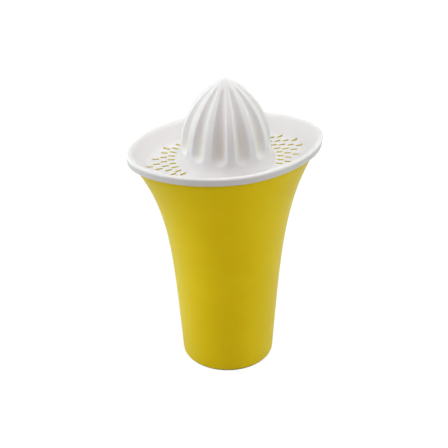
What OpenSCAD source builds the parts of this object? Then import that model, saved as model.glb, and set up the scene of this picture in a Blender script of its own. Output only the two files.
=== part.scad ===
// Hand citrus juicer in two mouldings: a tall cup whose round foot flares into
// an oval mouth, and a lift-off top with a fluted reamer, a slotted dish and a
// turned-down rim that sits on the edge of the mouth.
// The Z axis runs up through the middle of the foot and the tip of the reamer,
// the long axis of the oval lies along X, and Z is zero on the table.

/* [Cup] */
// Height of the cup's mouth edge above the table
cup_h = 156.4; // [140:0.1:175]
// Radius that the straight taper of the cup has at the table
foot_r = 31; // [29:0.5:33]
// Radius of the rounded edge round the foot
foot_round = 2.5; // [1.5:0.1:4]
// Radius of the shallow recess under the foot
recess_r = 25; // [18:0.5:26]
// Depth of that recess
recess_h = 0.8; // [0.4:0.1:1.2]
// Widening of the cup's side for each millimetre of height
side_taper = 0.069; // [0.058:0.001:0.072]
// How late the flare starts: a higher power keeps it nearer the mouth
flare_power = 4.5; // [3.4:0.1:5.6]
// Thickness of the cup's wall
cup_wall = 2; // [1.6:0.1:2.4]
// Thickness of the cup's floor
cup_floor = 2.6; // [2:0.1:4]

/* [Rim and dish] */
// Half of the rim's length
rim_a = 65.4; // [63:0.1:69]
// Half of the rim's width
rim_b = 47.1; // [46.4:0.1:50]
// Fullness of the oval: 2 is an ellipse and less draws its ends to a point
oval_n = 1.82; // [1.75:0.01:2.1]
// Height of the turned-down rim
band_h = 5; // [4.4:0.1:6]
// Thickness of the turned-down rim and of the dish
plate_wall = 2; // [1.8:0.1:2.2]
// Height of the rim's top above the mouth edge that it sits on
seat_rise = 3.5; // [3.2:0.1:3.8]
// Depth of the slotted floor below the rim's top
dish_depth = 9.6; // [8.6:0.1:10.2]
// Angle of the dish's straight side from level
side_angle = 45; // [43:1:50]
// Radius of the rim's rounded lip
lip_round = 2.2; // [1.8:0.1:2.4]

/* [Reamer] */
// Height of the reamer's tip above the slotted floor
reamer_h = 55; // [48:0.5:62]
// Radius of the reamer over its ridges
reamer_r = 29.3; // [28:0.1:29.6]
// Number of flutes
flutes = 12; // [10:1:14]
// Share of each pitch that the scooped flute takes up
flute_share = 0.64; // [0.55:0.01:0.72]
// Depth of a flute as a share of the radius there
flute_depth = 0.125; // [0.08:0.005:0.14]
// Turn of the flutes from the long axis
flute_turn = 3.8; // [0:0.1:15]
// Height of the plain foot below the flutes
plinth_h = 8; // [7:0.1:10]
// How far the plain foot widens down to the floor
plinth_flare = 1.7; // [1:0.1:2]

/* [Slots] */
// Radius of the innermost arc of slots
slot_r = 35.3; // [34.8:0.1:36]
// Distance from the outermost slots to the dish's straight side
slot_margin = 1.7; // [1.2:0.1:2.5]
// Angle from one slot to the next on an arc
slot_pitch = 8.6; // [8:0.1:8.8]
// Angle by which each arc lags the one inside it
slot_lag = 3.1; // [2.6:0.1:3.3]
// Length of a slot
slot_l = 4.6; // [4:0.1:4.8]
// Width of a slot
slot_w = 1.3; // [1:0.1:1.6]

/* [Fit] */
// Clearance between the cup and the rim and dish round its mouth
seat_gap = 0.3; // [0.25:0.05:0.4]

/* [Hidden] */

// Slots along each row of the two patches, rows counted from the near side
near_to_far_right = [1, 2, 2, 3, 3, 4, 4, 3, 2, 1];
near_to_far_left = [1, 2, 2, 3, 4, 3, 2, 2, 1];
// Angle of each patch's first slot below the long axis
right_start = 34.3;
left_start = 21.9;

// Heights that follow from the seat on the cup
rim_z = cup_h + seat_rise;
floor_z = rim_z - dish_depth;

// Insets of the cup's mouth, measured in from the rim's outline
mouth_out = plate_wall + seat_gap;
mouth_in = mouth_out + cup_wall;
dish_seat = mouth_in + seat_gap;

// Width of the soft bend between the dish's flat floor and its straight side
side_bend = 3.6;
// Where the straight side runs into the lip: inset, and height above the floor
lip_inset = lip_round * (1 + sin(side_angle));
lip_rise = dish_depth - lip_round * (1 - cos(side_angle));
// Width of the dish's side with its bend, between the flat floor and the lip
side_run = lip_rise / tan(side_angle) + side_bend / 2;
// Inset of the dish's flat floor
floor_inset = lip_inset + side_run;

// Upright stretch of the cup below its mouth edge
mouth_h = 0.6;
// How far the face inside the mouth leans in before it joins the dish's side
seat_taper = 1;

// Distance from one arc of slots to the next, so that they fill the floor
slots_end = rim_a - floor_inset + side_bend - slot_margin;
arc_step = (slots_end - slot_l / 2 - slot_r) / (max(near_to_far_right) - 1);

// Angle from one flute to the next, and half of a flute's own
flute_pitch = 360 / flutes;
flute_half = flute_pitch * flute_share / 2;

// Height of a scoop's rounded lower end
scoop_h = 4.8;

// How late the reamer's side closes in, how round it gets there, and its tip
swell = 2.91;
tip_power = 0.89;
tip_round = 3.2;

// The plain foot's hollow curve and its rounding into the floor
plinth_power = 1.6;
plinth_fillet = 0.8;

// The reamer's hollow lies this much lower than a plain inward step would put it
hollow_drop = 1.2;
// Narrowest ridge radius that still has the hollow inside it
hollow_least = 4;

// How far a slot's cutter reaches past the floor's two faces
cut_over = 1.2;

// Steps round a cup section, across a flute and across a land
cup_sides = 72;
flute_steps = 6;
land_steps = 2;

// Steps up the cup, up a scoop's end, up the reamer, and round the dish's bend and lip
climb_steps = 9;
scoop_steps = 3;
rise_steps = 10;
bend_steps = 3;
lip_steps = 3;
// How much closer together the cup's sections lie towards the mouth
climb_power = 1.5;

// Distance from the axis to an oval of half axes a and b, in direction t
function oval(t, a, b, n) =
    pow(pow(abs(cos(t)) / a, n) + pow(abs(sin(t)) / b, n), -1 / n);

// The rim's outline in direction t, moved in towards the axis
function rim_r(t, inset) = oval(t, rim_a, rim_b, oval_n) - inset;

function mix(p, q, s) = p + (q - p) * s;

function ring_at(dirs, radii, z) =
    [for (i = [0:len(dirs) - 1]) [radii[i] * cos(dirs[i]), radii[i] * sin(dirs[i]), z]];

// A ring that follows the rim's outline
function rim_ring(dirs, inset, z) = ring_at(dirs, [for (t = dirs) rim_r(t, inset)], z);

// A round ring
function round_ring(dirs, r, z) = ring_at(dirs, [for (t = dirs) r], z);

// Closed skin through rings of equal length, with a point at either end. It starts
// at a point of the upper face, runs out over the edge and ends under that point.
module skin(first, rings, last) {
    n = len(rings[0]);
    m = len(rings);
    points = [first, for (r = rings) each r, last];
    end = len(points) - 1;
    sides = [for (k = [0:m - 2], i = [0:n - 1])
        let (a = 1 + k * n, b = a + n, j = (i + 1) % n)
        each [[a + i, a + j, b + j], [a + i, b + j, b + i]]];
    caps = [for (i = [0:n - 1])
        let (j = (i + 1) % n, b = 1 + (m - 1) * n)
        each [[0, 1 + j, 1 + i], [end, b + i, b + j]]];
    polyhedron(points = points, faces = concat(caps, sides));
}

/* Cup */

// Share of the flare that the cup's side has reached at height z
function flare(z) = pow(min(z, cup_h - mouth_h) / (cup_h - mouth_h), flare_power);

// The round section of the plain taper at height z
function taper_r(z) = foot_r + side_taper * min(z, cup_h - mouth_h);

// The cup's outside in direction t at height z: round below, the rim's oval above
function cup_r(t, z) =
    let (top = taper_r(cup_h), grown = rim_r(t, mouth_out) - top)
    taper_r(z) + grown * flare(z);

// The cup's section at height z, moved in towards the axis
function cup_ring(dirs, inset, z) = ring_at(dirs, [for (t = dirs) cup_r(t, z) - inset], z);

// Height of step k up the flare
function climb(low, k) =
    mix(low, cup_h - mouth_h, 1 - pow(1 - k / climb_steps, climb_power));

module cup() {
    dirs = [for (i = [0:cup_sides - 1]) i * 360 / cup_sides];
    turn = [0:30:90];
    inner_turn = [for (s = turn)
        cup_ring(dirs, cup_wall + foot_round * (1 - sin(s)),
            cup_floor + foot_round * (1 - cos(s)))];
    inside = [for (k = [1:climb_steps])
        cup_ring(dirs, cup_wall, climb(cup_floor + foot_round, k))];
    mouth = [cup_ring(dirs, cup_wall, cup_h), cup_ring(dirs, 0, cup_h)];
    outside = [for (k = [climb_steps:-1:1]) cup_ring(dirs, 0, climb(foot_round, k))];
    foot_turn = [for (s = turn)
        cup_ring(dirs, foot_round * (1 - cos(s)), foot_round * (1 - sin(s)))];
    recess = [round_ring(dirs, recess_r, 0), round_ring(dirs, recess_r - recess_h, recess_h)];
    color("gold")
        skin([0, 0, cup_floor],
            concat(inner_turn, inside, mouth, outside, foot_turn, recess),
            [0, 0, recess_h]);
}

/* Reamer */

// Directions round the top: across each flute, then across the land after it
top_dirs = [for (k = [0:flutes - 1])
    let (from = flute_turn + k * flute_pitch - flute_half, to = from + 2 * flute_half)
    each concat(
        [for (j = [0:flute_steps - 1]) mix(from, to, j / flute_steps)],
        [for (j = [0:land_steps - 1]) mix(to, from + flute_pitch, j / land_steps)])];

// Radius over the ridges at height h above the floor, with a rounded tip
function ridge_r(h) =
    let (body = reamer_r * pow(1 - pow(max(h, 0) / reamer_h, swell), tip_power),
        below = max(0, reamer_h - h))
    sqrt(body * body + 2 * tip_round * below * exp(-below / tip_round))
        + plinth_flare * pow(max(0, 1 - h / plinth_h), plinth_power);

// How deep a flute is scooped in direction t at height h, from 0 to 1
function scoop(t, h) =
    let (turn = (t - flute_turn + 360 + flute_pitch / 2) % flute_pitch - flute_pitch / 2,
        across = turn / flute_half,
        down = max(0, plinth_h + scoop_h - h) / scoop_h)
    max(0, 1 - across * across - down * down);

// The reamer's outside in direction t at height h above the floor
function reamer_at(t, h) = ridge_r(h) * (1 - flute_depth * scoop(t, h));

// Heights up the reamer: through the scoops' ends, then closer towards the tip
flute_low = plinth_h + scoop_h;
reamer_rise = concat(
    [for (k = [0:scoop_steps]) flute_low - scoop_h * cos(90 * k / (scoop_steps + 1))],
    [for (k = [1:rise_steps]) mix(flute_low, reamer_h, sin(90 * k / (rise_steps + 1)))]);

// The hollow follows every second height, one wall inside the reamer
hollow_rise = [for (k = [0:2:len(reamer_rise) - 1])
    if (ridge_r(reamer_rise[k]) > hollow_least) reamer_rise[k] - hollow_drop];

module reamer_slot(turn, r) {
    end = (slot_l - slot_w) / 2;
    rotate([0, 0, turn])
        translate([r, 0, floor_z - plate_wall - cut_over])
            linear_extrude(plate_wall + 2 * cut_over)
                hull()
                    for (s = [-1, 1])
                        translate([s * end, 0]) circle(d = slot_w, $fn = 8);
}

// One patch of slots on the +X end: short radial rows, each arc lagging the last
module slot_patch(rows, start) {
    for (m = [0:len(rows) - 1], k = [0:rows[m] - 1])
        reamer_slot(m * slot_pitch - start - k * slot_lag, slot_r + k * arc_step);
}

// Height of the dish's upper face above the floor, x out from the flat floor's edge
function side_rise(x) =
    tan(side_angle) * (x < side_bend ? x * x / side_bend / 2 : x - side_bend / 2);

// Steepness of that face
function steepness(x) = atan(tan(side_angle) * min(x / side_bend, 1));

// Lower face of the dish's side, one wall's thickness away
function under_inset(x) = floor_inset - x - plate_wall * sin(steepness(x));
function under_rise(x) = side_rise(x) - plate_wall * cos(steepness(x));

module juicer_top() {
    reamer = [for (k = [len(reamer_rise) - 1:-1:0])
        ring_at(top_dirs, [for (t = top_dirs) reamer_at(t, reamer_rise[k])],
            floor_z + reamer_rise[k])];
    plinth = [for (h = [plinth_h / 2, plinth_fillet, 0])
        round_ring(top_dirs, ridge_r(h) + (h == 0 ? plinth_fillet : 0), floor_z + h)];
    bend = [for (k = [0:bend_steps]) side_bend * k / bend_steps];
    dish = [for (x = bend) rim_ring(top_dirs, floor_inset - x, floor_z + side_rise(x))];
    lip_turn = concat(-side_angle, [for (k = [0:lip_steps]) 90 * k / lip_steps]);
    lip = [for (s = lip_turn)
        rim_ring(top_dirs, lip_round * (1 - sin(s)), rim_z - lip_round * (1 - cos(s)))];
    band = [rim_ring(top_dirs, 0, rim_z - band_h), rim_ring(top_dirs, plate_wall, rim_z - band_h)];
    seat = [rim_ring(top_dirs, plate_wall, cup_h), rim_ring(top_dirs, dish_seat, cup_h)];
    under_end = floor_inset - dish_seat - seat_taper - plate_wall * sin(side_angle);
    under = [for (x = concat(under_end, [for (k = [bend_steps:-1:0]) bend[k]]))
        rim_ring(top_dirs, under_inset(x), floor_z + under_rise(x))];
    hollow = [for (h = concat([-plate_wall, plinth_h / 2], hollow_rise))
        ring_at(top_dirs, [for (t = top_dirs) reamer_at(t, h + hollow_drop) - plate_wall],
            floor_z + h)];
    tip = [0, 0, floor_z + reamer_h];
    hollow_tip = [0, 0, floor_z + reamer_h - plate_wall - hollow_drop / 2];
    color("white")
        difference() {
            skin(tip, concat(reamer, plinth, dish, lip, band, seat, under, hollow), hollow_tip);
            slot_patch(near_to_far_right, right_start);
            mirror([1, 0, 0]) slot_patch(near_to_far_left, left_start);
        }
}

cup();
juicer_top();
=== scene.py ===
# %% [markdown]
# A hand citrus juicer in two mouldings: a yellow cup whose round foot flares into
# an oval mouth, and a white top with a fluted reamer in a slotted dish. This lesson
# mixes the two plastics first. It then turns both pieces as plain round blanks, as
# on a lathe, and lets Geometry Nodes bend, scoop and punch them by rule. The paper,
# the lamps and the camera come last.

# %% Opening the frame
import math

import bpy
from mathutils import Matrix, Vector


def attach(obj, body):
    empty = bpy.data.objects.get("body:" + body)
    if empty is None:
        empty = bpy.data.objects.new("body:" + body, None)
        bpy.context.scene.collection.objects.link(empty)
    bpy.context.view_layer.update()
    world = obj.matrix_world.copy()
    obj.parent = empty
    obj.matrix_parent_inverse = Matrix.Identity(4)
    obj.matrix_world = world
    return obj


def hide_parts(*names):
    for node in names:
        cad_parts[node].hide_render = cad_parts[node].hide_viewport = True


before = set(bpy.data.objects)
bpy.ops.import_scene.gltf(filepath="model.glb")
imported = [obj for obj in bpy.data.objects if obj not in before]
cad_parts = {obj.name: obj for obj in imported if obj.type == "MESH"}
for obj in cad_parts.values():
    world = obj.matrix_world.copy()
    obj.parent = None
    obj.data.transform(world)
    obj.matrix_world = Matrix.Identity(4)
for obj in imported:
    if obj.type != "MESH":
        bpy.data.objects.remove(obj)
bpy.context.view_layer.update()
MM = 0.001

# %% [markdown]
# The sizes are the solids' own, in millimetres, so that each piece lies where its
# solid does. The two pieces share the rim's oval: the cup's mouth sits inside the
# rim, two millimetres of plastic and a small clearance further in. The oval's
# fullness is the power in its formula: 2 draws an ellipse, and less draws the
# ends towards a point, as the ends of this rim are.

# %% The sizes that both pieces share
cup_height = 156.4
rim_length, rim_width, rim_fullness = 2 * 65.4, 2 * 47.1, 1.82
seat_rise, dish_depth = 3.5, 9.6
rim_top = cup_height + seat_rise
floor_level = rim_top - dish_depth
reamer_height, reamer_radius = 55.0, 29.3
wall = 2.0
seat_gap = 0.3
flutes, flute_share, flute_turn, flute_foot = 12, 0.64, 3.8, 8.0
print("height of the whole juicer: %.1f mm" % (floor_level + reamer_height))

# %% [markdown]
# Node trees are easier to read as sums than as lists of links. A Wire wraps one
# socket and turns each Python operator into a Math node. A Board adds any other
# node: its settings go in first, then the values or wires of its sockets. Colours
# are blended by a Mix node, because a Math node would turn them grey.


# %% Wires and boards
class Wire:
    def __init__(self, board, socket):
        self.board = board
        self.socket = socket

    def __add__(self, other):
        return self.board.math("ADD", self, other)

    def __sub__(self, other):
        return self.board.math("SUBTRACT", self, other)

    def __rsub__(self, other):
        return self.board.math("SUBTRACT", other, self)

    def __mul__(self, other):
        return self.board.math("MULTIPLY", self, other)

    def __truediv__(self, other):
        return self.board.math("DIVIDE", self, other)

    def __rtruediv__(self, other):
        return self.board.math("DIVIDE", other, self)

    def __pow__(self, other):
        return self.board.math("POWER", self, other)

    def __abs__(self):
        return self.board.math("ABSOLUTE", self)

    __radd__ = __add__
    __rmul__ = __mul__


class Board:
    def __init__(self, tree):
        self.tree = tree

    def feed(self, socket, value):
        if isinstance(value, Wire):
            self.tree.links.new(value.socket, socket)
        else:
            socket.default_value = value

    def node(self, kind, settings=None, sockets=None):
        made = self.tree.nodes.new(kind)
        for name, value in (settings or {}).items():
            setattr(made, name, value)
        for name, value in (sockets or {}).items():
            self.feed(made.inputs[name], value)
        return made

    def add(self, kind, settings=None, sockets=None, out=0):
        return Wire(self, self.node(kind, settings, sockets).outputs[out])

    def math(self, operation, *values):
        return self.add("ShaderNodeMath", {"operation": operation}, dict(enumerate(values)))

    def split(self, vector):
        parts = self.node("ShaderNodeSeparateXYZ", None, {0: vector})
        return [Wire(self, socket) for socket in parts.outputs]

    def blend(self, share, first, second):
        return self.add("ShaderNodeMix", {"data_type": "RGBA"}, {0: share, 6: first, 7: second}, 2)

    def remap(self, value, low, high, start=0.0, end=1.0, curve="LINEAR"):
        return self.add("ShaderNodeMapRange", {"interpolation_type": curve},
                        {"Value": value, "From Min": low, "From Max": high,
                         "To Min": start, "To Max": end})


# %% [markdown]
# Each shaping step is one Geometry Nodes tree with named inputs. The helper below
# opens a tree, gives it its inputs, and hands back the wires. Its partner puts the
# tree on an object as a modifier and sets each input by its socket's identifier.


# %% Opening a shaping tree and putting it on an object
def shaping_tree(title, **inputs):
    tree = bpy.data.node_groups.new(title, "GeometryNodeTree")
    face = tree.interface
    face.new_socket("Geometry", in_out="INPUT", socket_type="NodeSocketGeometry")
    face.new_socket("Geometry", in_out="OUTPUT", socket_type="NodeSocketGeometry")
    for name, value in inputs.items():
        kind = {float: "NodeSocketFloat", int: "NodeSocketInt"}.get(type(value), value)
        socket = face.new_socket(name.replace("_", " "), in_out="INPUT", socket_type=kind)
        if kind != value:
            socket.default_value = value
    board = Board(tree)
    given = board.node("NodeGroupInput")
    return board, {slot.name: Wire(board, slot) for slot in given.outputs if slot.name}


def close_tree(board, geometry, finish):
    whole = board.add("GeometryNodeRealizeInstances", None, {"Geometry": geometry})
    painted = board.add("GeometryNodeSetMaterial", None, {"Geometry": whole, "Material": finish})
    board.node("NodeGroupOutput", None, {"Geometry": painted})
    return board.tree


def shape(piece, tree, **values):
    step = piece.modifiers.new(tree.name, "NODES")
    step.node_group = tree
    for slot in tree.interface.items_tree:
        key = slot.name.replace(" ", "_")
        if slot.in_out == "INPUT" and key in values:
            step[slot.identifier] = values.pop(key)
    assert not values, values


# %% [markdown]
# Both mouldings are of dense, satin plastic. Its colour is nearly even, so a slow
# mottle of two close tones is enough, with a fine skin like that of a polished
# mould in the bump and a gloss that changes a little from place to place. A mark
# is a place with a tone of its own, given by a rule; each mark here is painted
# light or painted shade. The patterns read Object coordinates, so that they stay
# on the piece, and light sinks a little way in.


# %% A finish for moulded plastic
def moulded_plastic(title, deep, pale, gloss, skin_height, shine, shine_level,
                    glow, glow_depth, marks):
    finish = bpy.data.materials.new(title)
    finish.use_nodes = True
    board = Board(finish.node_tree)
    board.tree.nodes.clear()
    place = board.add("ShaderNodeTexCoord", None, None, "Object")
    slow = board.add("ShaderNodeTexNoise", None,
                     {"Vector": place, "Scale": 28.0, "Detail": 3.0, "Roughness": 0.5})
    fine = board.add("ShaderNodeTexNoise", None,
                     {"Vector": place, "Scale": 900.0, "Detail": 2.0, "Roughness": 0.6})
    mottle = board.remap(slow, 0.35, 0.65, curve="SMOOTHSTEP")
    colour = board.blend(mottle, (*deep, 1), (*pale, 1))
    # Each mark blends in a tone of painted light or painted shade.
    for mark, tone in marks:
        colour = board.blend(mark(board, place), colour, (*tone, 1))
    skin = board.add("ShaderNodeBump", None,
                     {"Height": fine + 1.5 * slow, "Strength": 0.35, "Distance": skin_height * MM})
    shader = board.add("ShaderNodeBsdfPrincipled", None, {
        "Base Color": colour,
        "Roughness": gloss + 0.06 * (slow - 0.5) + 0.05 * (fine - 0.5),
        "Normal": skin,
        "IOR": 1.5,
        "Specular IOR Level": shine_level,
        "Specular Tint": (*shine, 1),
        "Subsurface Weight": 1.0,
        "Subsurface Radius": glow,
        "Subsurface Scale": glow_depth * MM,
    })
    board.node("ShaderNodeOutputMaterial", None, {"Surface": shader})
    print("finish", title, "roughness about", gloss, "with", len(marks), "marks")
    return finish


# %% [markdown]
# The cup is a strong, slightly orange yellow. Its one mark is painted shade: the
# foot's rounded edge, where it meets the table, is darkened as a painted contact
# shadow. The painted shade starts a few millimetres up and is full a millimetre
# above the table. The shine is tinted, because a plain white shine would make the
# cup's two sides too pale.


# %% The cup's yellow
foot_shade_start, foot_shade_full = 2.5, 1.1


# Painted shade: the foot's lowest millimetres are darkened for the contact shadow.
def painted_foot_shade(board, place):
    height = board.split(place)[2]
    return board.remap(height, foot_shade_start * MM, foot_shade_full * MM)


# The foot's dark mark below is painted shade, a painted contact shadow.
yellow_plastic = moulded_plastic(
    "yellow plastic", deep=(0.860, 0.652, 0.005), pale=(0.890, 0.678, 0.007),
    gloss=0.36, skin_height=0.010, shine=(1.0, 0.85, 0.05), shine_level=0.4,
    glow=(1.0, 0.7, 0.2), glow_depth=0.4, marks=[(painted_foot_shade, (0.26, 0.21, 0.05))])

# %% [markdown]
# The white top is a thin moulding over a yellow cup, so yellow light comes up into
# it: the lower ends of the flutes look a little warm, and the walls of the slots
# look golden. Lamps would show this only from some sides, so both are painted
# light: a warm tint painted low in the flutes and a golden tint painted on the
# slots' walls. The slots' cutters leave an attribute on the faces that they cut,
# and a mark reads it. The flutes' mark asks how far a point is sunk below the
# ridge line at its height, and fades out above the middle of the reamer and at the floor.


# %% The top's white
ridge_fullness, ridge_bluntness = 2.91, 0.89


def ridge_share(share):
    """Radius over the ridges at a share of the reamer's height, over that at its foot."""
    return (1.0 - share ** ridge_fullness) ** ridge_bluntness


# Painted light: a warm tint low in the flutes stands for yellow light from the cup.
def painted_glow_in_flutes(board, place):
    x, y, z = board.split(place)
    share = board.math("MAXIMUM", (z - floor_level * MM) / (reamer_height * MM), 0.0)
    sunk = 1.0 - (x * x + y * y) ** 0.5 / (reamer_radius * MM * ridge_share(share))
    in_flute = board.remap(sunk, 0.03, 0.11)
    return in_flute * board.remap(share, 0.7, 0.3) * board.remap(share, 0.0, 0.1)


# Painted light: the slots' walls get a golden tint for yellow light from the cup.
def painted_glow_on_slots(board, place):
    return board.add("ShaderNodeAttribute", {"attribute_name": "slot wall"}, None, "Fac")


# Both marks of the white are painted light, yellow light from the cup.
white_plastic = moulded_plastic(
    "white plastic", deep=(0.727, 0.717, 0.723), pale=(0.752, 0.742, 0.748),
    gloss=0.45, skin_height=0.008, shine=(1.0, 1.0, 1.0), shine_level=0.3,
    glow=(1.0, 0.97, 0.94), glow_depth=1.6,
    marks=[(painted_glow_in_flutes, (0.745, 0.720, 0.665)), (painted_glow_on_slots, (0.65, 0.575, 0.065))])

# %% [markdown]
# Turning a blank: a profile of radius and height, spun once round the axis, gives
# one closed skin. The profile starts on the axis at the top face, runs out over
# the edge and comes back to the axis underneath, so every face points outwards.


# %% Turning a profile into a closed blank
def turned(title, profile, turns):
    (_, top), *rings, (_, bottom) = profile
    columns = len(turns)
    corners = [(0.0, 0.0, top)]
    for radius, height in rings:
        corners += [(radius * math.cos(t), radius * math.sin(t), height) for t in turns]
    corners.append((0.0, 0.0, bottom))
    last = len(corners) - 1
    faces = []
    for i in range(columns):
        j = (i + 1) % columns
        faces.append((0, 1 + i, 1 + j))
        for k in range(len(rings) - 1):
            a, b = 1 + k * columns, 1 + (k + 1) * columns
            faces.append((a + i, b + i, b + j, a + j))
        a = 1 + (len(rings) - 1) * columns
        faces.append((last, a + j, a + i))
    mesh = bpy.data.meshes.new(title)
    mesh.from_pydata([tuple(c * MM for c in corner) for corner in corners], [], faces)
    piece = bpy.data.objects.new(title, mesh)
    bpy.context.scene.collection.objects.link(piece)
    print(title, "blank:", len(rings), "rings of", columns)
    return piece


def arc(centre, radius, start, end, steps):
    """Points of a bend, from start to end degrees, 0 pointing out and 90 up."""
    angles = [math.radians(start + (end - start) * k / steps) for k in range(steps + 1)]
    return [(centre[0] + radius * math.cos(a), centre[1] + radius * math.sin(a)) for a in angles]


def spread(start, end, steps, ease=1.0):
    """Points on a straight line after start up to end; ease above 1 crowds them at the start."""
    shares = [(k / steps) ** ease for k in range(1, steps + 1)]
    return [tuple(p + (q - p) * s for p, q in zip(start, end)) for s in shares]


# %% [markdown]
# The cup's blank is a straight tumbler of the foot's radius: a rounded foot, a wall
# of two millimetres with a softly rounded mouth edge, a shallow recess underneath
# and, in it, the small round mark that the mould's gate leaves. The rings lie
# closer towards the mouth, where the flare will bend the wall.

# %% Turning the cup's blank
foot_radius, foot_bend, cup_floor = 31.0, 2.5, 2.6
recess_radius, recess_depth = 25.0, 0.8
recess_step, recess_bend = 0.6, 0.1
gate_radius, gate_height = 2.2, 0.35
edge_bend = 0.7
inner_radius = foot_radius - wall
mouth_middle = cup_height - edge_bend

cup_profile = [(0, cup_floor)]
cup_profile += spread((0, cup_floor), (inner_radius - foot_bend, cup_floor), 6)
cup_profile += arc((inner_radius - foot_bend, cup_floor + foot_bend), foot_bend, -80, 0, 8)
cup_profile += spread((inner_radius, cup_floor + foot_bend), (inner_radius, mouth_middle), 70, 0.85)
cup_profile += arc((inner_radius + edge_bend, mouth_middle), edge_bend, 150, 90, 2)
cup_profile += arc((foot_radius - edge_bend, mouth_middle), edge_bend, 90, 0, 3)
cup_profile += spread((foot_radius, mouth_middle), (foot_radius, foot_bend), 90, 1.15)
cup_profile += arc((foot_radius - foot_bend, foot_bend), foot_bend, -10, -90, 8)
cup_profile += [(recess_radius + 0.5, 0), (recess_radius, recess_bend)]
cup_profile += [(recess_radius - recess_step, recess_depth - recess_bend)]
cup_profile += [(recess_radius - recess_step - 0.5, recess_depth), (gate_radius + 0.4, recess_depth)]
cup_profile += [(gate_radius, recess_depth - 0.08), (gate_radius - 0.3, recess_depth - gate_height)]
cup_profile += [(0, recess_depth - gate_height)]

cup_columns = 192
cup = turned("cup_moulding", cup_profile, [2 * math.pi * i / cup_columns for i in range(cup_columns)])

# %% [markdown]
# The flare follows one rule: the side widens evenly with height, and a share of the
# rest of the way to the rim's oval is added, which grows with a high power of the
# height. A modelled loft would need many sections. As a rule in Geometry Nodes it
# is one move of each point along its own radius, and a taper and a power set the
# outline. The move fades out towards the axis, inside the share of the foot's
# radius called Held, so that the middle of the cup's floor stays where it is.


# %% The oval and the flare as nodes
def oval_reach(board, turn, length, width, fullness):
    """Distance from the axis to the oval in the direction that the turn gives."""
    lengthways = abs(board.math("COSINE", turn)) / (length * 0.5)
    sideways = abs(board.math("SINE", turn)) / (width * 0.5)
    return (lengthways ** fullness + sideways ** fullness) ** (-1.0 / fullness)


def place_parts(board):
    """The wires x, y, z, turn round the axis and distance from it of each point."""
    place = board.add("GeometryNodeInputPosition")
    x, y, z = board.split(place)
    reach = board.math("MAXIMUM", (x * x + y * y) ** 0.5, 1e-7)
    return x, y, z, board.math("ARCTAN2", y, x), reach


def move_to(board, geometry, x, y, z, **more):
    target = board.add("ShaderNodeCombineXYZ", None, {0: x, 1: y, 2: z})
    return board.add("GeometryNodeSetPosition", None,
                     {"Geometry": geometry, "Position": target, **more})


def flare_tree():
    board, given = shaping_tree(
        "flared to an oval", Foot_Radius=0.03, Height=0.15, Taper=0.07, Flare_Power=4.0,
        Mouth_Length=0.12, Mouth_Width=0.09, Rim_Inset=0.002, Fullness=2.0, Held=0.85,
        Finish="NodeSocketMaterial")
    x, y, z, turn, reach = place_parts(board)
    top = given["Height"]
    climbed = board.math("MINIMUM", z, top)
    oval = oval_reach(board, turn, given["Mouth Length"], given["Mouth Width"],
                      given["Fullness"]) - given["Rim Inset"]
    straight = given["Foot Radius"] + given["Taper"] * top
    grown = given["Taper"] * climbed + (oval - straight) * (climbed / top) ** given["Flare Power"]
    held = board.remap(reach, 0.0, given["Foot Radius"] * given["Held"])
    scale = 1.0 + grown * held / reach
    moved = move_to(board, given["Geometry"], x * scale, y * scale, z)
    return close_tree(board, moved, given["Finish"])


upright_edge = 0.6
shape(cup, flare_tree(), Foot_Radius=foot_radius * MM, Height=(cup_height - upright_edge) * MM,
      Taper=0.069, Flare_Power=4.5, Mouth_Length=rim_length * MM, Mouth_Width=rim_width * MM,
      Rim_Inset=(wall + seat_gap) * MM, Fullness=rim_fullness, Held=0.85, Finish=yellow_plastic)

# %% [markdown]
# The top is one moulding, so it is one blank too: the reamer's ridge line, a plain
# foot that widens into the floor, a soft bend into the dish's straight side, a
# rounded lip with a crisper outer edge, the turned-down band, the seat on the cup
# and, underneath, a skin that follows all of it one wall further in. The three
# helpers come first: they give a radius, or a point, at a place on that line.


# %% Lines that the top's blank follows
tip_ball = 5.4
plinth_height, plinth_flare = 9.0, 3.1
side_angle, side_bend, lip_bend, lip_edge = math.radians(45), 3.6, 4.6, 1.2
blank_rim = rim_length / 2
lip_inset = lip_edge + lip_bend * math.sin(side_angle)
lip_rise = rim_top - floor_level - lip_bend * (1 - math.cos(side_angle))
side_run = lip_rise / math.tan(side_angle) + side_bend / 2
floor_edge = blank_rim - lip_inset - side_run


def ridge_radius(height):
    """Radius over the reamer's ridges, with a small ball of a tip."""
    share = min(max(height, 0.0), reamer_height) / reamer_height
    body = reamer_radius * ridge_share(share)
    below = max(0.0, reamer_height - height)
    return math.sqrt(body * body + 2 * tip_ball * below * math.exp(-below / tip_ball))


def foot_radius_at(height):
    """The same with the plain foot, which widens down to the floor."""
    return ridge_radius(height) + plinth_flare * max(0.0, 1 - height / plinth_height) ** 2


def side_point(run, depth=0.0):
    """Radius and height of the dish's side, run out from the floor's edge and depth below."""
    lean = math.atan(math.tan(side_angle) * min(max(run, 0.0) / side_bend, 1.0))
    reached = run * run / side_bend / 2 if run < side_bend else run - side_bend / 2
    rise = math.tan(side_angle) * reached
    return floor_edge + run + depth * math.sin(lean), floor_level + rise - depth * math.cos(lean)


print("floor's edge on the blank: %.2f mm" % floor_edge)

# %% [markdown]
# The rings lie close together where the flutes' round ends will come, and at the
# tip, and further apart on the plain stretches between.

# %% The top's upper face, from the tip out to the lip
close_from, close_step, close_rings = flute_foot - 2.4, 0.3, 26
climb = [round(close_from + close_step * k, 3) for k in range(close_rings)]
climb += [round(reamer_height * k / 60, 3) for k in range(15, 60)]
climb += [reamer_height - below for below in (0.6, 0.3, 0.12, 0.03)]

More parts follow.
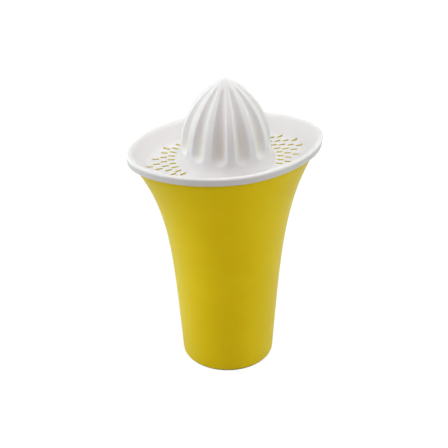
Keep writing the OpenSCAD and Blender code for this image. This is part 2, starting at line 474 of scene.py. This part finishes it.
top_profile = [(0, floor_level + reamer_height)]
top_profile += [(foot_radius_at(h), floor_level + h) for h in reversed(climb)]
for k in range(1, 15):
    height = close_from * (1 - k / 14)
    top_profile.append((foot_radius_at(height), floor_level + height))
top_profile += spread(top_profile[-1], (floor_edge - 0.4, floor_level), 8)
top_profile += [side_point(side_bend * k / 9) for k in range(9)]
top_profile += [side_point(side_bend + (side_run - side_bend) * k / 7) for k in range(8)]
lip_start = 90 + math.degrees(side_angle) - 6
top_profile += arc((blank_rim - lip_edge, rim_top - lip_bend), lip_bend, lip_start, 90, 7)
top_profile += arc((blank_rim - lip_edge, rim_top - lip_edge), lip_edge, 80, 0, 9)
print(len(top_profile), "rings down to the lip")

# %% [markdown]
# Round the edge and back underneath: the band hangs down outside the cup's mouth,
# and the seat is the narrow ledge that lies on the mouth's edge, a few hundredths
# of a millimetre above it. The reamer is hollow, at the wall of the rest, because
# a thick moulding shrinks and sinks in as it cools.

# %% The band, the seat and the underside
band_height, band_bend, band_lean = 5.4, 0.4, 0.6
band_foot = rim_top - band_height
inner_face = blank_rim - wall
top_profile += spread(top_profile[-1], (blank_rim - band_lean, band_foot + band_bend), 3)
top_profile += arc((blank_rim - band_lean - band_bend, band_foot + band_bend), band_bend, -20, -90, 4)
top_profile += arc((inner_face + band_bend, band_foot + band_bend), band_bend, -90, -170, 3)

seat_lift, seat_bend, seat_drop = 0.02, 0.1, 0.2
seat_inner = inner_face - wall - 2 * seat_gap
seat_level = cup_height + seat_lift
top_profile += [(inner_face, cup_height - 2 * seat_drop), (inner_face - seat_bend, seat_level)]
top_profile += [(seat_inner + seat_bend, seat_level), (seat_inner, cup_height - seat_drop)]
seat_taper = 1.0
under_end = seat_inner - seat_taper - floor_edge - wall * math.sin(side_angle)
top_profile += [side_point(under_end + (side_bend - under_end) * k / 6, wall) for k in range(7)]
top_profile += [side_point(side_bend * k / 8, wall) for k in range(7, -1, -1)]

under_level = floor_level - wall
under_foot = foot_radius_at(0.0) - wall + 0.6
under_bend = 1.2
top_profile += spread(top_profile[-1], (under_foot, under_level), 5)
for k in range(1, 6):
    bend = math.radians(90 * k / 5)
    top_profile.append((under_foot - under_bend * math.sin(bend),
                        under_level + under_bend * (1 - math.cos(bend))))
hollow_foot, hollow_top, hollow_tip = 1.0, reamer_height - wall - 0.6, 0.6
for k in range(34):
    height = hollow_foot + (hollow_top - hollow_foot) * math.sin(math.pi / 2 * k / 34)
    radius = foot_radius_at(height + under_bend) - wall
    if radius > hollow_tip:
        top_profile.append((radius, floor_level + height))
top_profile += [(0, floor_level + hollow_top)]

# %% [markdown]
# The columns crowd where the flutes' edges will come, because crisp edges need
# close points. The shares count from the middle of a flute, 0, past its edge, 1,
# to the next one's first column, and every flute repeats them.

# %% Turning the top's blank
pitch = 2 * math.pi / flutes
half_flute = pitch * flute_share / 2
in_flute = [0.0, 0.16, 0.33, 0.5, 0.66, 0.78, 0.86, 0.93, 1.0]
on_ridge = [1.05, 1.1, 1.2, 1.36, 1.5625, 1.765, 1.925, 2.025, 2.075]
shares = [-s for s in reversed(in_flute[1:])] + in_flute + on_ridge
middles = [math.radians(flute_turn) + k * pitch for k in range(flutes)]
top_turns = [middle + half_flute * s for middle in middles for s in shares]
top = turned("top_moulding", top_profile, top_turns)


# %% [markdown]
# From round to oval: the reamer and its foot stay round, the dish's side and rim
# follow the oval, and the floor between them shares the change out evenly. The rule
# moves each point along its own radius, so the lip and the band keep their section
# all the way round.


# %% Stretching the dish to the oval
def stretch_tree():
    board, given = shaping_tree(
        "dish stretched to an oval", Round_Inside=0.03, Oval_Outside=0.05, Blank_Rim=0.065,
        Rim_Length=0.13, Rim_Width=0.09, Fullness=2.0, Finish="NodeSocketMaterial")
    x, y, z, turn, reach = place_parts(board)
    oval = oval_reach(board, turn, given["Rim Length"], given["Rim Width"], given["Fullness"])
    share = board.remap(reach, given["Round Inside"], given["Oval Outside"])
    scale = 1.0 + (oval - given["Blank Rim"]) * share / reach
    moved = move_to(board, given["Geometry"], x * scale, y * scale, z)
    return close_tree(board, moved, given["Finish"])


shape(top, stretch_tree(), Round_Inside=foot_radius_at(0.0) * MM, Oval_Outside=floor_edge * MM,
      Blank_Rim=blank_rim * MM, Rim_Length=rim_length * MM, Rim_Width=rim_width * MM,
      Fullness=rim_fullness, Finish=white_plastic)

# %% [markdown]
# The flutes are what cuts the fruit. Each is a long scoop that ends below in a
# round U, as a ball-nosed cutter leaves it, and fades out under the tip. A rule
# says how deep the scoop is at each point: one, less the square of the way across,
# less the square of the way down into the rounded end, and never below nothing.
# The last step is softened, so that the edges shine as moulded edges do, and the
# scoop gets shallower towards its lower end, where it runs out on the plain foot.


# %% Scooping the flutes
def scoop_tree():
    board, given = shaping_tree(
        "scooped flutes", Flutes=12, Turn=0.0, Share=0.64, Depth=0.125, Softness=0.08, Floor=0.15,
        Lowest=0.008, Round_End=0.005, Run_Out=0.012, End_Depth=0.62, Tip=0.055, Tip_Fade=0.008,
        Within=0.033, Finish="NodeSocketMaterial")
    x, y, z, turn, reach = place_parts(board)
    step = 2 * math.pi / given["Flutes"]
    off_middle = board.math("WRAP", turn - given["Turn"], step * 0.5, step * -0.5)
    across = off_middle / (step * given["Share"] * 0.5)
    height = z - given["Floor"]
    into_end = board.math("MAXIMUM", given["Lowest"] + given["Round End"] - height, 0.0)
    down = into_end / given["Round End"]
    bowl = 1.0 - across * across - down * down
    scoop = (bowl + (bowl * bowl + given["Softness"] * given["Softness"]) ** 0.5) * 0.5
    fade = board.remap(given["Tip"] - height, 0.0, given["Tip Fade"], curve="SMOOTHSTEP")
    run_out = board.remap(height - given["Lowest"], 0.0, given["Run Out"], given["End Depth"], 1.0,
                          "SMOOTHSTEP")
    scale = 1.0 - given["Depth"] * scoop * fade * run_out
    near = board.add("FunctionNodeCompare", {"operation": "LESS_THAN"}, {0: reach, 1: given["Within"]})
    moved = move_to(board, given["Geometry"], x * scale, y * scale, z, Selection=near)
    return close_tree(board, moved, given["Finish"])


shape(top, scoop_tree(), Flutes=flutes, Turn=math.radians(flute_turn), Share=flute_share,
      Depth=0.125, Softness=0.12, Floor=floor_level * MM, Lowest=flute_foot * MM,
      Round_End=4.8 * MM, Run_Out=13.0 * MM, End_Depth=0.62, Tip=reamer_height * MM,
      Tip_Fade=7.5 * MM, Within=33.0 * MM, Finish=white_plastic)

# %% [markdown]
# The juice runs through two patches of slots. Each slot points at the reamer and
# lies on one of four arcs, and each arc lags the one inside it, so that the rows
# slant. The rows are what someone would count on the real piece. From a row and
# an arc number, the tree works out where the slot goes, sets a small cutter with
# bevelled ends there, and takes all the cutters out of the dish at once. Each
# cutter carries a mark on its faces, and the walls that it leaves inherit it. Its
# bevels pass the dish's skin by a hair, because a cutter's corner that lies exactly
# in the skin would leave slivers in the mesh.

# %% Slot numbers for the two patches
near_to_far_right = [1, 2, 2, 3, 3, 4, 4, 3, 2, 1]
near_to_far_left = [1, 2, 2, 3, 4, 3, 2, 2, 1]
numbers = []
for rows, side, start in ((near_to_far_right, 1.0, 34.3), (near_to_far_left, -1.0, 21.9)):
    numbers += [(row, ring, side, start) for row, many in enumerate(rows) for ring in range(many)]
slot_mesh = bpy.data.meshes.new("slot numbers")
slot_mesh.from_pydata([(0, 0, 0)] * len(numbers), [], [])
for name, column in zip(("row", "ring", "side", "start"), zip(*numbers)):
    slot_mesh.attributes.new(name, "FLOAT", "POINT").data.foreach_set("value", column)
slot_points = bpy.data.objects.new("slot_numbers", slot_mesh)
bpy.context.scene.collection.objects.link(slot_points)
print(len(numbers), "slots")


# %% Punching the slots
def punch_tree():
    board, given = shaping_tree(
        "punched slots", Slots="NodeSocketObject", First_Radius=0.035, Arc_Step=0.005, Pitch=8.6,
        Lag=3.1, Length=0.0046, Width=0.0013, Bevel=0.0002, Wall=0.002, Floor=0.15, Past=0.00002,
        Proud=0.001, Finish="NodeSocketMaterial")

    def number(name):
        return board.add("GeometryNodeInputNamedAttribute", {"data_type": "FLOAT"}, {"Name": name})

    # The bar has rings at 0.2, 0.6 and 1 of its half height: bevel's foot, bevel's top, free end.
    bar = board.add("GeometryNodeMeshCylinder", {"fill_type": "NGON"},
                    {"Vertices": 16, "Side Segments": 5, "Radius": 1.0, "Depth": 2.0})
    x, y, z, *_ = place_parts(board)
    level = abs(z)
    bevel = board.remap(level, 0.25, 0.55, 0.0, given["Bevel"])
    skin = given["Wall"] * 0.5
    rise = board.remap(level, 0.25, 0.55, skin - given["Bevel"], skin + given["Past"])
    rise = rise + board.remap(level, 0.65, 0.95, 0.0, given["Proud"])
    size = given["Width"] * 0.5 + bevel
    apart = (given["Length"] - given["Width"]) * 0.5
    bar = move_to(board, bar, x * size + board.math("SIGN", x) * apart, y * size,
                  board.math("SIGN", z) * rise)
    slots = board.add("GeometryNodeObjectInfo", None, {"Object": given["Slots"]}, "Geometry")
    degrees = number("row") * given["Pitch"] - number("start") - number("ring") * given["Lag"]
    turn = degrees * (math.pi / 180)
    radius = given["First Radius"] + number("ring") * given["Arc Step"]
    side = number("side")
    across = board.math("COSINE", turn) * radius * side
    along = board.math("SINE", turn) * radius
    middle = given["Floor"] - given["Wall"] * 0.5
    centre = board.add("ShaderNodeCombineXYZ", None, {0: across, 1: along, 2: middle})
    points = board.add("GeometryNodeMeshToPoints", None, {"Mesh": slots, "Position": centre})
    facing = board.add("ShaderNodeCombineXYZ", None, {2: turn * side})
    cutters = board.add("GeometryNodeInstanceOnPoints", None, {
        "Points": points, "Instance": bar,
        "Rotation": board.add("FunctionNodeEulerToRotation", None, {0: facing})})
    whole = board.add("GeometryNodeRealizeInstances", None, {"Geometry": cutters})
    # This mark on the cutters' faces selects where the golden painted light goes on the slots' walls.
    marked = board.add("GeometryNodeStoreNamedAttribute", {"data_type": "FLOAT", "domain": "FACE"},
                       {"Geometry": whole, "Name": "slot wall", "Value": 1.0})
    cut = board.node("GeometryNodeMeshBoolean", {"operation": "DIFFERENCE", "solver": "MANIFOLD"},
                     {"Mesh 1": given["Geometry"], "Mesh 2": marked})
    return close_tree(board, Wire(board, cut.outputs[0]), given["Finish"])


shape(top, punch_tree(), Slots=slot_points, First_Radius=35.3 * MM, Arc_Step=5.063 * MM,
      Pitch=8.6, Lag=3.1, Length=4.6 * MM, Width=1.3 * MM, Bevel=0.18 * MM, Wall=wall * MM,
      Floor=floor_level * MM, Past=0.02 * MM, Proud=1.0 * MM, Finish=white_plastic)


# %% [markdown]
# The trees are evaluated once, their result becomes a plain mesh, and the modifiers
# go. Smooth shading suits moulded skins, except across the slots' bevels and the
# band's inner corners, where the angle between two faces is large. Each mesh then
# rides its body in the solid's place.


# %% Making plain meshes of the two pieces
def settle(piece, crease):
    result = piece.evaluated_get(bpy.context.evaluated_depsgraph_get())
    mesh = bpy.data.meshes.new_from_object(result)
    piece.modifiers.clear()
    piece.data = mesh
    mesh.shade_smooth()
    mesh.set_sharp_from_angle(angle=math.radians(crease))
    mesh.calc_loop_triangles()
    print(piece.name, len(mesh.loop_triangles), "triangles")


bpy.context.view_layer.update()
settle(cup, crease=40)
settle(top, crease=38)
bpy.data.objects.remove(slot_points)

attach(cup, "cup")
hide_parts("cup")
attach(top, "juicer_top")
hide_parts("juicer_top")

# %% [markdown]
# The set is a white sheet of paper. Only the camera sees most of its white as light
# of its own, so that the paper reads as white as in a catalogue picture while the
# lamps stay at a plain level, and the rest of it is real paper that keeps the
# juicer's soft shadow. Further out the share of its own light rises to all of it,
# so that the paper's edge doesn't show against the white behind it. A gloss shows a
# share of that white too. All of it would make the cup's two sides too pale.


# %% The paper
half_sheet = 4.0
near_end, far_start, near_share = 0.3, 1.2, 0.86
gloss_share = 0.25


def white_to(board):
    """1 for what the camera sees itself, and a share for what it sees in a gloss or through glass."""
    rays = board.node("ShaderNodeLightPath").outputs
    camera, glossy, through = (Wire(board, rays["Is %s Ray" % kind])
                               for kind in ("Camera", "Glossy", "Transmission"))
    return board.math("MAXIMUM", camera, gloss_share * board.math("MAXIMUM", glossy, through))


def paper():
    finish = bpy.data.materials.new("paper")
    finish.use_nodes = True
    board = Board(finish.node_tree)
    board.tree.nodes.clear()
    place = board.add("ShaderNodeTexCoord", None, None, "Object")
    grain = board.add("ShaderNodeTexNoise", None, {"Vector": place, "Scale": 60.0, "Detail": 4.0})
    tone = board.blend(grain, (0.44, 0.44, 0.44, 1), (0.47, 0.47, 0.47, 1))
    matte = board.add("ShaderNodeBsdfDiffuse", None, {"Color": tone})
    light = board.add("ShaderNodeEmission", None, {"Color": (1, 1, 1, 1), "Strength": 1.12})
    seen = white_to(board)
    x, y, _ = board.split(place)
    share = board.remap((x * x + y * y) ** 0.5, near_end, far_start, near_share, 1.0)
    both = board.add("ShaderNodeMixShader", None, {0: seen * share, 1: matte, 2: light})
    board.node("ShaderNodeOutputMaterial", None, {"Surface": both})
    return finish


sheet_mesh = bpy.data.meshes.new("paper")
corners = [(-half_sheet, -half_sheet, 0), (half_sheet, -half_sheet, 0)]
corners += [(half_sheet, half_sheet, 0), (-half_sheet, half_sheet, 0)]
sheet_mesh.from_pydata(corners, [], [(0, 1, 2, 3)])
sheet_mesh.materials.append(paper())
sheet = bpy.data.objects.new("paper_sheet", sheet_mesh)
bpy.context.scene.collection.objects.link(sheet)

# %% [markdown]
# The light is that of a product studio: soft boxes of the same size stand in a ring
# round the table, at both sides and behind, one stands high at the front and one
# hangs overhead. The boxes at the sides stand low and the front one high, so the
# middle of the cup is deeper in colour than its two sides. The powers and faint
# tints come from one render for each box alone: light adds up, so the mix that
# comes nearest to the photograph can be solved for. Bearings are counted from
# the camera, so the ring turns with it.

# %% The lamps
camera_turn = 0.31043
camera_bearing = -math.pi / 2 - camera_turn
looks_at = Vector((0, 0, 0.1))
box_distance, box_side = 1.2, 0.7


def soft_box(title, bearing, elevation, power, tone):
    way = camera_bearing + math.radians(bearing)
    rise = math.radians(elevation)
    towards = Vector((math.cos(rise) * math.cos(way), math.cos(rise) * math.sin(way), math.sin(rise)))
    place = looks_at + box_distance * towards
    lamp = bpy.data.lights.new(title, "AREA")
    lamp.shape = "SQUARE"
    lamp.size = box_side
    lamp.energy = power
    lamp.color = tone
    holder = bpy.data.objects.new(title, lamp)
    holder.location = place
    holder.rotation_euler = (looks_at - place).to_track_quat("-Z", "Y").to_euler()
    bpy.context.scene.collection.objects.link(holder)
    print(title, power, "W at", [round(c, 2) for c in place])


soft_box("box_front", 0, 42, 4.9, (1.0, 0.90, 0.90))
soft_box("box_right", 90, 12, 5.2, (0.90, 1.0, 0.94))
soft_box("box_back_right", 135, 42, 4.8, (0.97, 0.99, 0.95))
soft_box("box_back", 180, 12, 1.8, (1.0, 1.0, 0.95))
soft_box("box_back_left", 225, 12, 3.8, (0.91, 1.0, 0.92))
soft_box("box_left", 270, 12, 4.9, (0.89, 1.0, 0.97))
soft_box("box_left_high", 270, 42, 3.5, (0.94, 1.0, 1.0))
soft_box("box_overhead", 0, 90, 5.1, (1.0, 1.0, 0.98))

# %% [markdown]
# The room round the table is dim for the juicer and white for the camera, by the
# same rule as the paper, so the white behind the paper lights nothing.

# %% The room
world = bpy.data.worlds.new("studio")
bpy.context.scene.world = world
world.use_nodes = True
sky = Board(world.node_tree)
sky.tree.nodes.clear()
seen = white_to(sky)
room = sky.add("ShaderNodeBackground", None, {"Color": (1.0, 1.0, 1.0, 1), "Strength": 0.13})
white = sky.add("ShaderNodeBackground", None, {"Color": (1, 1, 1, 1), "Strength": 1.0})
sky.node("ShaderNodeOutputWorld", None,
         {"Surface": sky.add("ShaderNodeMixShader", None, {0: seen, 1: room, 2: white})})

# %% [markdown]
# The camera stands where the photograph was taken from. Its distance, height and
# turn were solved from the outline of the cup, the rim's oval and the rows of
# slots. It is set up in front of the juicer first, aimed and rolled a little, and
# then carried round the axis.

# %% The camera
distance, tilt, roll = 0.86727, 0.53873, 0.01261
focal_pixels, picture_pixels, film_width = 1300, 448, 36.0
aim_x, aim_z = -0.001756, 0.099538
right = Vector((1, 0, 0))
ahead = Vector((0, math.cos(tilt), -math.sin(tilt)))
up = right.cross(ahead)
spot = Vector((aim_x, -distance * math.cos(tilt), aim_z + distance * math.sin(tilt)))
across = right * math.cos(roll) - up * math.sin(roll)
upward = right * math.sin(roll) + up * math.cos(roll)
pose = Matrix((across, upward, -ahead)).transposed().to_4x4()
pose.translation = spot
lens = bpy.data.cameras.new("camera")
lens.sensor_width = film_width
lens.lens = focal_pixels / picture_pixels * film_width
camera = bpy.data.objects.new("camera", lens)
camera.matrix_world = Matrix.Rotation(-camera_turn, 4, "Z") @ pose
bpy.context.scene.collection.objects.link(camera)
bpy.context.scene.camera = camera
bpy.context.scene.view_settings.view_transform = "Standard"
print("camera at", [round(c, 3) for c in camera.matrix_world.translation])
